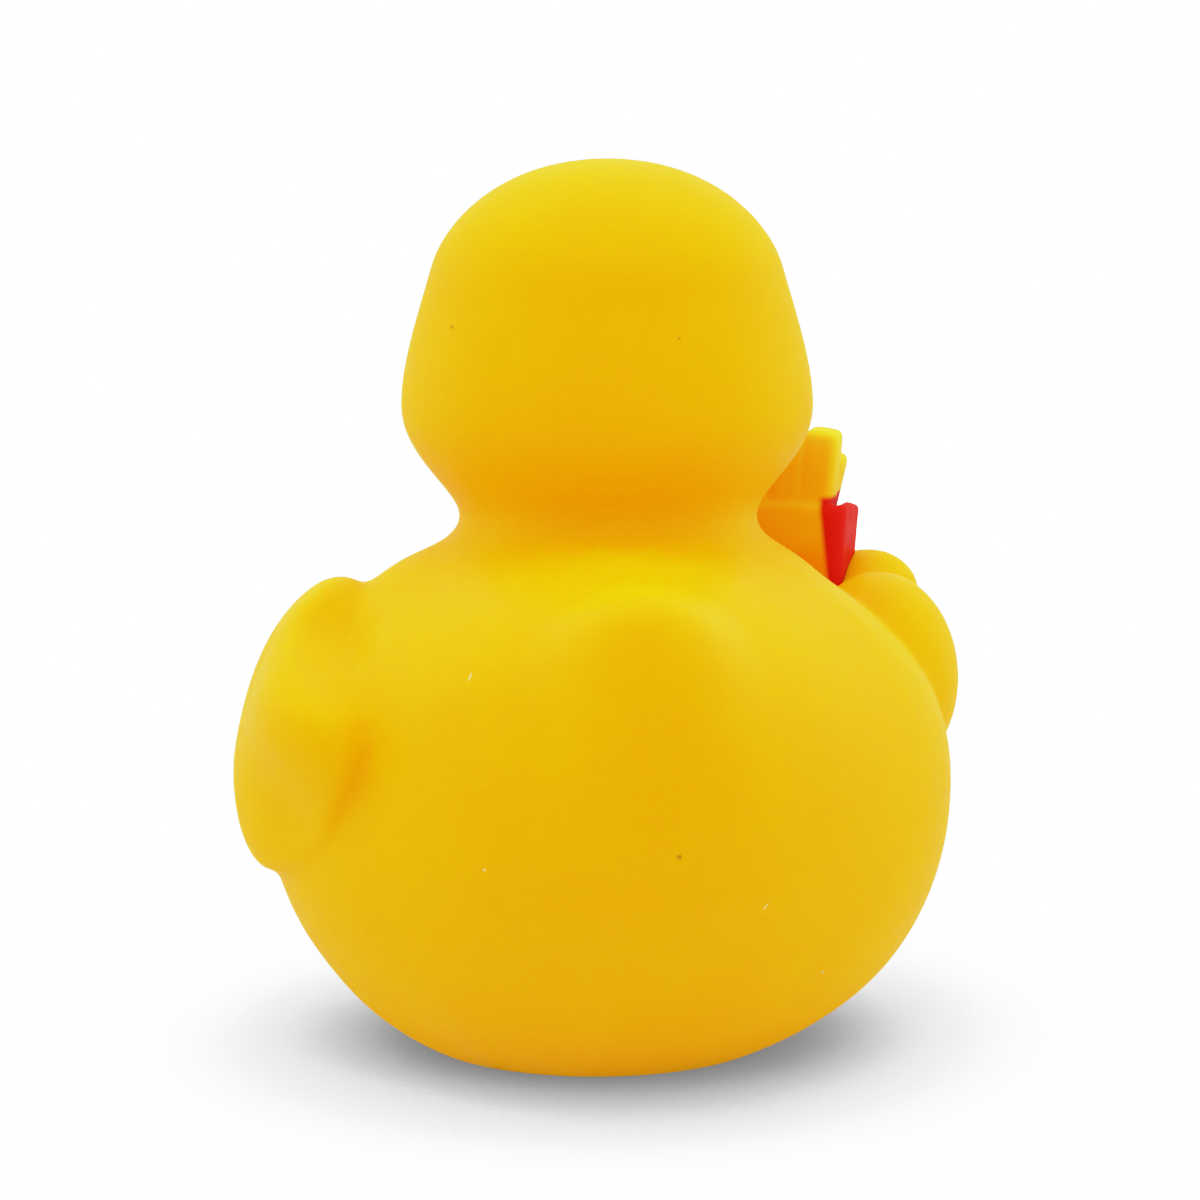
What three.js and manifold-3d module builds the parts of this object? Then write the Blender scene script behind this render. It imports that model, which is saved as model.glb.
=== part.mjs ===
// A bath duck of soft vinyl, moulded in one piece, that holds a carton of fries in its raised right wing.
// Millimetres, +Z up. The duck looks along -Y and stands on a flat foot in the plane z = 0.
// The foot has a stepped recess, and a small squeaker is pressed into it.
import * as THREE from "three";
import { mergeVertices } from "three/addons/utils/BufferGeometryUtils.js";
import Module from "manifold-3d";

const wasm = await Module();
wasm.setup();

// ---- Driving dimensions ----
const BODY = { halfWidth: 35.2, chest: 33.5, rump: 33, above: 27, below: 30.7, middle: 27, round: 2.05, full: 2.15 };
const SETTLE = { height: 9, shift: 1.1 }; // the soft belly leans a little to the left over its foot
const TAIL = { rise: [0, 8.5, 7.2], crest: [0, 1.6, 5.4] };
const HEAD = { top: 90, cheek: 20.9, cheekHeight: 64.8, neck: 14.9, neckHeight: 53.6, forward: 4.5 };
const LEFT_WING = { middle: 33.5, thick: 7.7, length: 19.5, height: 15.2, sunk: 4.3, level: 31.5, curl: 0.0215 };
const WING_TIP = { at: [0, 17, 36.5], reach: 14, draw: [0.8, 11, 1.5] };
const RIGHT_WING = { middle: 37, thick: 7.9, length: 17, height: 9.8, sunk: 4.2, level: 33, curl: 0.034 };
const CARTON = { width: 16.8, depth: 8.4, corner: 1.5, height: 21, taper: 0.84, soft: 0.5, at: [-20.4, -24, 51.3], turn: -0.4 };
const FRY = { width: 3.1, corner: 0.7, sunk: 4, soft: 0.55 };
const FOOT_HEIGHT = 0; // the plane that cuts the belly flat
const SQUEAKER = { flange: 7.4, flangeDepth: 1.8, barrel: 4.6, barrelDepth: 5.2, hole: 1.1 };
const FIT_GAP = 0.3; // all round the squeaker

// ---- Shaping ----

function reshape(geometry, move) {
  const positions = geometry.getAttribute("position");
  const p = new THREE.Vector3();
  for (let i = 0; i < positions.count; i += 1) {
    p.fromBufferAttribute(positions, i);
    move(p);
    positions.setXYZ(i, p.x, p.y, p.z);
  }
  return geometry;
}

// Moves the vertices near a point: all the way at the point, not at all at the reach.
function pull(geometry, from, reach, by) {
  const anchor = new THREE.Vector3(...from);
  const step = new THREE.Vector3(...by);
  return reshape(geometry, (p) => {
    const share = Math.max(0, 1 - p.distanceTo(anchor) / reach);
    p.addScaledVector(step, share * share * (3 - 2 * share));
  });
}

// A ball with its poles on Z, scaled to three half sizes, turned, and put in place.
function ball(halfSizes, centre, { turn = [0, 0, 0], around = 24, rings = 16 } = {}) {
  const geometry = new THREE.SphereGeometry(1, around, rings);
  geometry.rotateX(Math.PI / 2);
  geometry.scale(...halfSizes);
  geometry.applyMatrix4(new THREE.Matrix4().makeRotationFromEuler(new THREE.Euler(...turn)));
  return geometry.translate(...centre);
}

// How wide the body is at a share of its height, from 1 at the middle to 0 at the end.
function fullness(share, power) {
  return (1 - Math.min(1, Math.abs(share)) ** power) ** (1 / power);
}

// The body's half width at a height.
function bodyRadius(z) {
  const low = z < BODY.middle;
  const share = (z - BODY.middle) / (low ? BODY.below : BODY.above);
  return BODY.halfWidth * fullness(share, low ? BODY.full : BODY.round);
}

// Lays a flat form on the body's flank: its x is the height off the skin, its y runs round the body.
function wrapped(geometry, side) {
  return reshape(geometry, (p) => {
    const angle = p.y / BODY.halfWidth;
    const radius = bodyRadius(p.z) + p.x;
    p.x = side * radius * Math.cos(angle);
    p.y = radius * Math.sin(angle);
  });
}

// Turns a form that was mirrored outside in again.
function flipped(geometry) {
  const index = geometry.index;
  for (let i = 0; i < index.count; i += 3) {
    const first = index.getX(i);
    index.setX(i, index.getX(i + 1));
    index.setX(i + 1, first);
  }
  return geometry;
}

// ---- Joining and cutting ----

function solid(geometry) {
  const bare = geometry.clone();
  bare.deleteAttribute("normal");
  bare.deleteAttribute("uv");
  const closed = mergeVertices(bare, 1e-4);
  return new wasm.Manifold(
    new wasm.Mesh({
      numProp: 3,
      vertProperties: new Float32Array(closed.getAttribute("position").array),
      triVerts: new Uint32Array(closed.index.array),
    }),
  );
}

function joined(geometries) {
  return geometries.map(solid).reduce((whole, next) => whole.add(next));
}

function node(name, manifold, colour, roughness) {
  const { vertProperties, triVerts } = manifold.getMesh();
  const geometry = new THREE.BufferGeometry()
    .setAttribute("position", new THREE.BufferAttribute(vertProperties, 3))
    .setIndex(new THREE.BufferAttribute(triVerts, 1));
  const mesh = new THREE.Mesh(
    geometry,
    new THREE.MeshStandardMaterial({ color: colour, roughness, metalness: 0 }),
  );
  mesh.name = name;
  return mesh;
}

// ---- The duck's forms ----

// A round belly whose rump is drawn up and back into a blunt tail.
function body() {
  const form = ball([1, 1, 1], [0, 0, 0], { around: 52, rings: 34 });
  reshape(form, (p) => {
    const spread = fullness(p.z, p.z < 0 ? BODY.full : BODY.round) / Math.max(1e-6, Math.hypot(p.x, p.y));
    p.x *= spread * BODY.halfWidth;
    p.y *= spread * (p.y < 0 ? BODY.chest : BODY.rump);
    p.z = BODY.middle + p.z * (p.z < 0 ? BODY.below : BODY.above);
    p.x += SETTLE.shift * THREE.MathUtils.clamp(1 - p.z / SETTLE.height, 0, 1) ** 1.5;
  });
  pull(form, [0, 33, 38], 33, TAIL.rise);
  return pull(form, [0, 39.5, 47], 15, TAIL.crest);
}

// Half of the head's outline, from the top of the head down to where the neck flares into the back.
function headOutline() {
  const outline = new THREE.Path();
  outline.moveTo(0, HEAD.top);
  outline.bezierCurveTo(10, HEAD.top, 15.9, HEAD.top - 4.6, 17.8, HEAD.top - 11);
  outline.bezierCurveTo(18.9, HEAD.top - 15, HEAD.cheek, HEAD.cheekHeight + 4.6, HEAD.cheek, HEAD.cheekHeight);
  outline.bezierCurveTo(HEAD.cheek, HEAD.cheekHeight - 4.8, HEAD.neck + 0.3, HEAD.neckHeight + 2.4, HEAD.neck, HEAD.neckHeight);
  outline.bezierCurveTo(HEAD.neck, HEAD.neckHeight - 1.4, 16.8, HEAD.neckHeight - 2.4, 20.3, HEAD.neckHeight - 4.3);
  outline.lineTo(21.8, HEAD.neckHeight - 6);
  outline.lineTo(0, HEAD.neckHeight - 12);
  return outline.getPoints(6);
}

function head() {
  const form = new THREE.LatheGeometry(headOutline().reverse(), 40);
  form.rotateX(Math.PI / 2);
  return reshape(form, (p) => {
    const share = THREE.MathUtils.smoothstep(p.z, HEAD.neckHeight - 4.5, HEAD.neckHeight + 4);
    p.y *= THREE.MathUtils.lerp(BODY.rump / BODY.halfWidth, 1, share);
    p.y -= HEAD.forward * share;
  });
}

function bill() {
  const upper = ball([9.2, 14, 3.5], [0, -25.3, 63.6], { turn: [0.08, 0, 0], rings: 14 });
  pull(upper, [0, -39, 63], 13, [0, -0.8, 1.6]);
  const lower = ball([7.6, 11.6, 2.9], [0, -24.4, 59.9], { turn: [-0.06, 0, 0], rings: 14 });
  return [upper, lower];
}

// A pad to be wrapped on the flank. It stands further off the skin above and below its level.
function wingPad({ middle, thick, length, height, sunk, level, curl }, along) {
  const form = ball([thick, length, height], [-sunk, along, middle], { around: 32, rings: 22 });
  return reshape(form, (p) => {
    p.x += curl * (p.z - level) ** 2;
  });
}

// A plump wing on the flank, with its blunt tip drawn back.
function leftWing() {
  const form = wingPad(LEFT_WING, -1.5);
  pull(form, WING_TIP.at, WING_TIP.reach, WING_TIP.draw);
  return wrapped(form, 1);
}

// The raised wing: its root on the flank, then lobes that close round the carton.
function rightWing() {
  const root = wingPad(RIGHT_WING, -8);
  reshape(root, (p) => {
    p.x = Math.min(p.x, 9);
  });
  return [
    flipped(wrapped(root, -1)),
    ball([6.1, 9, 7.4], [-30.9, -9.5, 38.8], { turn: [-0.2, 0.2, 0], around: 20, rings: 14 }),
    ball([5.6, 6.6, 5.6], [-29.6, -19.5, 41.4], { turn: [-0.1, 0.2, 0.2], around: 20, rings: 14 }),
    ball([5.4, 4, 4.6], [-25, -29.4, 41], { turn: [0, 0, -0.6], around: 20, rings: 14 }),
  ];
}

// ---- The carton of fries ----

function roundedRectangle(width, depth, corner) {
  const x = width / 2 - corner;
  const y = depth / 2 - corner;
  const plan = new THREE.Shape();
  plan.moveTo(-x, -y - corner);
  plan.lineTo(x, -y - corner);
  plan.absarc(x, -y, corner, -Math.PI / 2, 0);
  plan.absarc(x, y, corner, 0, Math.PI / 2);
  plan.absarc(-x, y, corner, Math.PI / 2, Math.PI);
  plan.absarc(-x, -y, corner, Math.PI, 1.5 * Math.PI);
  return plan;
}

// A soft-edged upright bar whose top is at z = 0.
function bar(width, depth, corner, height, soft, curveSegments) {
  const plan = roundedRectangle(width - 2 * soft, depth - 2 * soft, Math.max(0.1, corner - soft));
  const form = new THREE.ExtrudeGeometry(plan, {
    depth: height - 2 * soft,
    bevelThickness: soft,
    bevelSize: soft,
    bevelSegments: 2,
    curveSegments,
  });
  return form.translate(0, 0, soft - height);
}

function carton() {
  const form = bar(CARTON.width, CARTON.depth, CARTON.corner, CARTON.height, CARTON.soft, 4);
  return reshape(form, (p) => {
    const share = THREE.MathUtils.lerp(1, CARTON.taper, -p.z / CARTON.height);
    p.x *= share;
    p.y *= share;
  });
}

// Eight fries in two rows, which fan out a little from the middle. Each entry is the place
// across the carton, the place from its middle to its back, the lean outwards, and the rise.
const FRIES = [
  [-5.2, 1.9, -0.26, 6],
  [-1.9, 2, -0.1, 7.9],
  [1.8, 2, 0.07, 5.4],
  [5.2, 1.8, 0.22, 6.8],
  [-4.3, -1.7, -0.1, 8.3],
  [-0.8, -2, -0.02, 6.4],
  [2.6, -1.9, 0.1, 8.2],
  [5.4, -1.8, 0.28, 5.2],
];

function fries() {
  return FRIES.map(([across, back, lean, rise]) =>
    bar(FRY.width, FRY.width, FRY.corner, rise + FRY.sunk, FRY.soft, 2)
      .translate(0, 0, rise)
      .rotateX(-0.03 * back)
      .rotateY(lean)
      .translate(across, back, 0),
  );
}

function cartonOfFries() {
  return [carton(), ...fries()].map((form) => form.rotateZ(CARTON.turn).translate(...CARTON.at));
}

// ---- The two pieces ----

function turned(points, around) {
  const outline = points.map(([radius, height]) => new THREE.Vector2(radius, height));
  return new THREE.LatheGeometry(outline, around).rotateX(Math.PI / 2);
}

function duck() {
  const whole = joined([body(), head(), ...bill(), leftWing(), ...rightWing(), ...cartonOfFries()]);
  const ground = new THREE.BoxGeometry(200, 200, 60).translate(0, 0, FOOT_HEIGHT - 30);
  const { flange, flangeDepth, barrel, barrelDepth } = SQUEAKER;
  const recess = turned(
    [
      [0, -5],
      [flange + FIT_GAP, -5],
      [flange + FIT_GAP, flangeDepth + FIT_GAP],
      [barrel + FIT_GAP, flangeDepth + FIT_GAP],
      [barrel + FIT_GAP, barrelDepth + FIT_GAP],
      [0, barrelDepth + FIT_GAP],
    ],
    40,
  );
  return whole.subtract(solid(ground)).subtract(solid(recess));
}

function squeaker() {
  const { flange, flangeDepth, barrel, barrelDepth, hole } = SQUEAKER;
  const rim = 0.35; // how far the flange lies above the foot
  return solid(
    turned(
      [
        [0, 3],
        [hole, 3],
        [hole, rim],
        [flange, rim],
        [flange, flangeDepth],
        [barrel, flangeDepth],
        [barrel, barrelDepth],
        [0, barrelDepth],
      ],
      40,
    ),
  );
}

const toy = new THREE.Group();
toy.add(node("vinyl_duck", duck(), 0xf2b705, 0.45));
toy.add(node("squeaker", squeaker(), 0xf4f1e6, 0.5));

export default toy;
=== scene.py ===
"""A bath duck of soft vinyl that holds a carton of fries in its raised wing.

Everything is in metres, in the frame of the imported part: the duck looks along -Y and stands
on z = 0.
"""

import math

import bmesh
import bpy
import numpy as np
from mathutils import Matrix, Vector
from mathutils.bvhtree import BVHTree


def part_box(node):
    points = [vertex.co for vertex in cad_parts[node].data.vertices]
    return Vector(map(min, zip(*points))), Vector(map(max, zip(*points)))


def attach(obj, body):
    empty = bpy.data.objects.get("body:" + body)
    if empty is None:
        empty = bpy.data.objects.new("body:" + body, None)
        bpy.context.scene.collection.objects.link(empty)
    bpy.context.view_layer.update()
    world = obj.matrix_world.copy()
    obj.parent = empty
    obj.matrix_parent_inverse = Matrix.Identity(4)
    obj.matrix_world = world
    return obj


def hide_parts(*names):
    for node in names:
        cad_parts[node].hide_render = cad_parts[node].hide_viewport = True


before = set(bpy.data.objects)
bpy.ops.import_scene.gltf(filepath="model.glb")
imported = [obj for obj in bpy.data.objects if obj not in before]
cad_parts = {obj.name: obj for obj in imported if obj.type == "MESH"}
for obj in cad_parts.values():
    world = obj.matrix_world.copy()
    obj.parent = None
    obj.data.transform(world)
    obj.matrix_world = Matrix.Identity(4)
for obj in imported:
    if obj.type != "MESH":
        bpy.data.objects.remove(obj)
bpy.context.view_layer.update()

bl_info = {
    "name": "Bath Duck with Fries",
    "version": (1, 0, 0),
    "blender": (4, 5, 0),
    "location": "3D View > Sidebar > Bath Duck",
    "description": "Builds a soft vinyl bath duck that holds a carton of fries",
    "category": "Add Mesh",
}

MM = 0.001
ORIGIN = (0.0, 0.0, 0.0)

# Two places closer than this, in metres, are taken as one. A face whose normal's share along Z
# is beyond these counts as upright or as flat, and one below this level, in millimetres, as
# part of the foot.
TOUCHING = 1e-6
UPRIGHT = 0.9
FLAT = 0.999
FOOT_LEVEL = 0.01

# The belly's outline: the level of its middle, how far it reaches above and below that in
# millimetres, and how full its upper and lower halves are, where 2 is an ellipse.
BODY_MIDDLE = 27.0
BODY_ABOVE = 27.0
BODY_BELOW = 30.7
BODY_ROUND = 2.05
BODY_FULL = 2.15

# The level below which the belly leans over its foot, in millimetres.
SETTLE_LEVEL = 9.0

# Where the belly is drawn out, how far around that reaches and the move, in millimetres:
# the rump, the tail's tip, the left shoulder, the right one, and the dent behind the top of the
# left wing.
BELLY_DRAWS = (
    ((0, 33, 38), 33, (0, 7.9, 7.2)),
    ((-0.6, 39.5, 47), 15, (0, 2.0, 5.2)),
    ((20, 0, 49), 9, (0.6, 0.0, 0.6)),
    ((-25, -2, 45), 15, (0.5, 0.0, -0.65)),
    ((27.9, 9.5, 42), 7.5, (-1.2, -0.3, -0.6)),
)

# The head's outline in millimetres of radius and height, from its top down: curves of two
# handles with their end and how many points each has, then how it closes inside the belly.
HEAD_TOP = (0.0, 90.0)
HEAD_CURVES = (
    ((11.1, 90), (16.8, 83.3), (17.95, 79), 16),
    ((19.05, 75), (21.1, 69.4), (21.1, 64.8), 12),
    ((21.1, 60), (15.2, 56), (14.9, 53.6), 12),
    ((14.9, 52.2), (16.8, 51.2), (20.3, 49.3), 6),
)
HEAD_ROOT = [(21.8, 47.6), (0.0, 41.6)]

# How far the head sits to the right of the middle of the belly, in millimetres, and the levels
# between which the neck slides over to it.
HEAD_ASIDE = -0.27
NECK_SLIDES = (49.1, 57.6)

# The two halves of the bill: half sizes and middle in millimetres, and how far each is tipped.
BILL_UPPER = ((9.2, 14, 3.5), (0, -25.3, 63.6), (0.08, 0, 0))
BILL_LOWER = ((7.6, 11.6, 2.9), (0, -24.4, 59.9), (-0.06, 0, 0))

# How the tip of its upper half is drawn up: where, how far around that reaches and the move.
BILL_DRAW = ((0, -39, 63), 13, (0, -0.8, 1.6))

# The ovals that the bill's paint fills: middle, half sizes and how far each is tipped.
BILL_PAINT = (
    ((0, -25.3, 63.6), (9.6, 15.6, 4.6), (0.08, 0, 0)),
    ((0, -24.4, 59.7), (8.0, 12.4, 3.5), (-0.06, 0, 0)),
    ((0, -37.5, 64), (10, 9.5, 6), (0, 0, 0)),
)

# The painted eyes and the dot of white on each, in millimetres.
EYE_ASIDE = 8.5
EYE_DEPTH = -22.5
EYE_LEVEL = 73.5
EYE_HALF = (2.5, 6, 3.4)
DOT_ASIDE = 0.8
DOT_LEVEL = 75.0
DOT_HALF = (0.75, 6, 0.85)
DOT_WHITE = (0.85, 0.84, 0.8, 1.0)

# The tail's ridge, in millimetres: how far it stands out, half its width at its top, how that
# grows with each millimetre further down, and the level of its top.
TAIL_RIDGE = 2.2
TAIL_HALF = 6.5
TAIL_FLARE = 0.75
TAIL_LEVEL = 45.5

# Where the ridge fades: out to its sides as shares of half its width, and in millimetres from
# its foot up, from its top down and from the rear to the front.
TAIL_SIDES = (0.1, 1.5)
TAIL_FOOT = (8, 30)
TAIL_TOP = (34, 50)
TAIL_REAR = (10, 28)

# The left wing, in millimetres: how plump its section is, its middle, how far it stands proud,
# the level from which it curls outwards and how strongly, and its reach to the rear at its
# bottom, where it is widest and at its top.
WING_PLUMP = 2.9
WING_MIDDLE = 33.2
WING_PROUD = 3.3
WING_LEVEL = 31.5
WING_CURL = 0.0165
WING_REAR = (24.5, 26.8, 12.0)

# How much steeper the left wing's rear edge is, how much prouder its tip stands and at what
# level, and how far its underside is tucked in below the tip.
WING_EDGE = 2.0
WING_TIP = 2.6
WING_TIP_LEVEL = 38.5
WING_TUCK = 3.2

# The left wing again, in millimetres: how far it lies to the front, the levels between which it
# grows to its widest, narrows to its top and is tucked in, over how many millimetres above and
# below its level the tip stands prouder, and how far to the rear that and the tuck come in.
WING_SHIFT = -1.5
WING_GROWS = (27, 36)
WING_NARROWS = (37.5, 45.5)
WING_TUCKS = (25, 35)
WING_TIP_SPREAD = 5
WING_REARWARD = (2, 18)

# The raised wing: where its root is on the flank, and each lobe's half sizes and middle in
# millimetres with its turn.
RAISED_WING_AT = (-29.7, -11.5, 34.8)
LOBES = (
    ((5.9, 6.6, 5.4), (-30.1, -24.0, 41.1), (0, 0, 0)),
    ((4.9, 4.6, 4.6), (-27.6, -27.8, 41), (0, 0, 0)),
    ((5.6, 4, 4.7), (-24.4, -30.2, 41), (0, 0, -0.6)),
)

# How the creases between the raised wing's forms and round the bill are eased: how far from
# the crease in metres, and for how many rounds.
ROOT_EASE = (0.006, 90)
LOBE_EASE = (0.005, 70)
BILL_EASE = (0.0012, 6)
NECK_ROUNDS = 60
WING_ROUNDS = 5

# Where the carton stands: the middle of its rim, its turn about the upright, and how far its
# rim slopes down to the front and dips further in the middle there. In millimetres, with how
# far to the front and between which levels that comes in.
CARTON_AT = Vector((-20.4, -24.0, 52.1))
CARTON_TURN = -0.4
CARTON_SLOPE = 0.7
CARTON_SCOOP = 1.6
SCOOP_FRONT = (-1, 4)
SCOOP_LEVELS = (-6, 0)

# The carton's round corners, how deep its top is sunk, its eased rim, and a fry's whole length,
# its eased edges and how it leans back for each millimetre it stands back. In metres.
CARTON_CORNER = 0.0017
CARTON_SUNK = 0.0016
RIM_EASE = 0.0005
FRY_LENGTH = 0.0135
FRY_EASE = 0.0009
FRY_SPLAY = -0.03

# Where the red paint, the painted shade low on the carton and the painted light at the tips of the
# fries begin and are full, in metres from the middle of its rim: out to the sides, up from below,
# in from the front, and under the rim.
PAINT_ASIDE = (0.0054, 0.0062)
PAINT_FLARE = 0.1
PAINT_BELOW = (0.0011, 0.0004)
PAINT_FRONT = (0.0031, 0.0028)
PAINT_RIM = (0.0003, 0.0001)
PAINTED_SHADE_LEVELS = (-0.0015, -0.006)
PAINTED_LIGHT_LEVELS = (0.0035, 0.0103)

# Each fry's place across the carton, its place towards the back, its lean and how far it rises.
FRIES = (
    (-4.9, 1.7, -0.11, 8.0),
    (-1.8, 1.8, -0.10, 7.3),
    (1.7, 1.8, 0.07, 5.0),
    (5.0, 1.6, 0.20, 6.0),
    (-4.3, -1.6, -0.22, 5.2),
    (-0.9, -1.8, -0.02, 6.4),
    (2.5, -1.7, 0.10, 7.6),
    (5.1, -1.6, 0.26, 5.0),
)

# Small marks in the skin: the middle and half sizes of each in millimetres, and its turn.
SPECKS = (
    ((16.1, 5.8, 74.2), (0.16, 2.0, 0.16), (0, 0, 0)),
    ((-5.7, 14.2, 73.8), (0.14, 2.0, 0.14), (0, 0, 0)),
    ((-3.2, 39.4, 27.7), (0.26, 2.0, 0.26), (0, 0, 0)),
)
LINT = (
    ((15.8, 28.6, 43.2), (0.07, 2.0, 0.36), (0, -0.4, 0)),
    ((-12.2, 33.2, 21.2), (0.08, 2.0, 0.42), (0, -0.6, 0)),
    ((14.8, 33.2, 25.4), (0.13, 2.0, 0.13), (0, 0, 0)),
    ((-19.1, 23.5, 12.0), (0.12, 2.0, 0.14), (0, 0.3, 0)),
)

# How soft the border of a mark is, and how strongly each kind shows.
MARK_BORDER = 0.35
SPECK_STRENGTH = 0.45
LINT_STRENGTH = 0.4

# How little the vinyl shines, and how far red, green and blue light wander inside it.
SHINE = 0.018
WANDER = (1.0, 0.35, 0.05)

# The recess in the foot, in millimetres: the room it leaves round the squeaker's flange, the
# level of its step, its radius above that and its top. The form that cuts it starts lower down.
RECESS_ROOM = 0.3
RECESS_STEP = 2.1
RECESS_BARREL = 4.9
RECESS_TOP = 5.5
RECESS_START = -5

# How far the table lies below the foot, in millimetres, so that the two never fight.
TABLE_DROP = 0.02

# How bright the table looks, from how open the room is over it: a painted grey shade near the duck.
# White is the last entry.
SHADE = (
    (0.0, 0.18), (0.125, 0.266), (0.175, 0.283), (0.225, 0.323), (0.275, 0.381), (0.325, 0.456),
    (0.375, 0.527), (0.425, 0.597), (0.475, 0.685), (0.525, 0.78), (0.575, 0.97), (0.625, 1.35),
    (0.675, 1.75), (0.725, 2.15), (0.775, 2.4), (0.825, 2.5),
)
WHITE = 2.5

# How far around a point of the table the room is looked over for that, in metres.
SHADE_REACH = 0.085

# The warm light painted into the table's glow close to the duck, in place of the light that goes to
# and fro between them: its colour, between which shares of an open room it turns white, and its
# least strength, up to which share.
BOUNCE = (1.0, 0.68, 0.06, 1.0)
BOUNCE_OPEN = (0.3, 0.85)
BOUNCE_LEAST = 0.5
BOUNCE_FULL = 0.7

# The lights' places and sizes in metres. The side lights' place is out to the side, away from
# the camera and up. All aim at one level over the middle of the foot.
TOP_LIGHT_LEVEL = 0.62
TOP_LIGHT_SIZE = 0.9
SIDE_LIGHT_PLACE = (0.5, 0.2, 0.2)
SIDE_LIGHT_SIZE = 0.4
LIGHT_AIM = 0.045

# Where the camera aims, in millimetres: the level, and how far to the left of the middle.
AIM_LEVEL = 45.4
AIM_ASIDE = 0.847

# Light that comes in, and the tone that it gives.
FILM = (
    (0.0, 0.0), (0.35, 0.35), (0.6, 0.6), (0.76, 0.735), (0.9, 0.795), (1.1, 0.84),
    (1.45, 0.885), (1.9, 0.95), (2.5, 1.0),
)


# ---- Sizes and colours ----


def amount(name, description, default, **settings):
    """A setting that is one number."""
    return bpy.props.FloatProperty(
        name=name, description=description, default=default, **settings
    )


def length(name, description, default):
    """A setting for a length in metres."""
    return amount(name, description, default, unit="LENGTH")


def tint(name, description, default):
    """A setting for the colour of a vinyl, a plastic or a paint."""
    return bpy.props.FloatVectorProperty(
        name=name, description=description, default=default, subtype="COLOR", min=0.0, max=1.0
    )


class BathDuckBody(bpy.types.PropertyGroup):
    """Sizes of the belly, tail and head"""

    half_width: length("Half Width", "From the middle of the belly to its side", 0.0352)
    chest: length("Chest", "From the middle of the belly to the front of the chest", 0.0335)
    rump: length(
        "Rump", "From the middle of the belly to the back, before the tail is drawn out", 0.033
    )
    settle: length("Settle", "How far the belly leans to the side over its foot", 0.0011)
    head_forward: length(
        "Head Forward", "How far the head sits in front of the middle of the belly", 0.0045
    )
    fineness: length("Fineness", "The grid on which the forms are moulded into one skin", 0.00062)
    neck_fillet: length("Neck Fillet", "How far from the neck's crease the skin is eased", 0.006)
    wing_fillet: length("Wing Fillet", "How far from the wings' creases the skin is eased", 0.0016)


class BathDuckWings(bpy.types.PropertyGroup):
    """Sizes of the two wings"""

    left_half: bpy.props.FloatVectorProperty(
        name="Left Wing",
        description="How deep the left wing is sunk, its reach to the front and half its height",
        default=(0.0055, 0.0175, 0.0147),
        subtype="XYZ_LENGTH",
    )
    right_half: bpy.props.FloatVectorProperty(
        name="Right Wing Root",
        description="Half thickness, half length and half height of the raised wing's root",
        default=(0.0083, 0.0115, 0.0110),
        subtype="XYZ_LENGTH",
    )


class BathDuckCarton(bpy.types.PropertyGroup):
    """Sizes of the carton and its fries"""

    width: length("Width", "Across the carton at its rim", 0.0168)
    depth: length("Depth", "From the carton's front to its back at the rim", 0.0084)
    height: length("Height", "From the rim down to the carton's base", 0.021)
    taper: bpy.props.FloatProperty(
        name="Taper",
        description="The base's size as a share of the rim's",
        default=0.84,
        min=0.5,
        max=1.0,
        subtype="FACTOR",
    )
    wall: length("Wall", "How thick the rim is round the fries", 0.0011)
    fry_width: length("Fry Width", "Across one fry", 0.0037)
    fineness: length(
        "Fineness", "The grid on which the carton and fries are moulded into one", 0.00026
    )


class BathDuckFinish(bpy.types.PropertyGroup):
    """Colours of the vinyl and of the paint on it, and the painted shade and painted light of the
    carton and fries
    """

    yellow: tint("Yellow Vinyl", "The moulded vinyl", (0.94, 0.455, 0.0005))
    amber: tint(
        "Amber Undertone",
        "The vinyl where it is thicker or seen through more of itself",
        (0.93, 0.435, 0.0005),
    )
    orange: tint("Bill Paint", "The orange paint on the bill", (0.82, 0.16, 0.006))
    # Painted shade: a deeper orange for the lower carton, where shade and light off its red paint
    # fall.
    carton_painted_shade: tint("Carton Vinyl", "The bare vinyl low on the carton", (0.93, 0.39, 0.0005))
    # Painted light: a paler yellow for the tops of the fries, where light from above falls.
    fry_painted_light: tint("Fry Vinyl", "The paler vinyl at the tips of the fries", (0.95, 0.7, 0.02))
    red: tint("Carton Paint", "The red paint on the carton", (0.62, 0.013, 0.006))
    black: tint("Eye Paint", "The black paint of the eyes", (0.008, 0.007, 0.007))
    speck: tint("Specks", "Specks of dirt caught in the vinyl", (0.1, 0.06, 0.01))
    lint: tint("Lint", "Bits of lint on the skin", (0.9, 0.88, 0.7))
    plastic: tint("Squeaker Plastic", "The hard plastic of the squeaker", (0.84, 0.82, 0.76))


class BathDuckStage(bpy.types.PropertyGroup):
    """The camera's place and the strength of the lights"""

    azimuth: amount(
        "Azimuth",
        "Where the camera stands round the duck; none looks at its bill",
        math.radians(175),
        subtype="ANGLE",
    )
    elevation: amount(
        "Elevation", "How far the camera looks down", math.radians(10), subtype="ANGLE"
    )
    distance: length("Distance", "From the camera to the middle of the duck", 0.45)
    lens: amount("Lens", "Focal length in millimetres, on a sensor 36 mm wide", 132.3)
    top_light: amount("Top Light", "Strength of the large soft light overhead, in watts", 1.32)
    side_light: amount("Side Lights", "Strength of each soft light at the side, in watts", 0.3)
    ceiling: amount(
        "Ceiling", "How brightly the white room lights the duck from straight above", 1.2
    )
    walls: amount("Walls", "How brightly the white room lights the duck from the side", 1.0)
    table: amount("Table", "How brightly the white table lights the duck from below", 1.0)


# ---- Modelling by hand ----


def begin():
    """Leaves object mode on and nothing selected."""
    if bpy.context.object and bpy.context.object.mode != "OBJECT":
        bpy.ops.object.mode_set(mode="OBJECT")
    bpy.ops.object.select_all(action="DESELECT")


def take(piece):
    """Makes a piece the one that is selected and active."""
    begin()
    piece.select_set(True)
    bpy.context.view_layer.objects.active = piece


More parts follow.
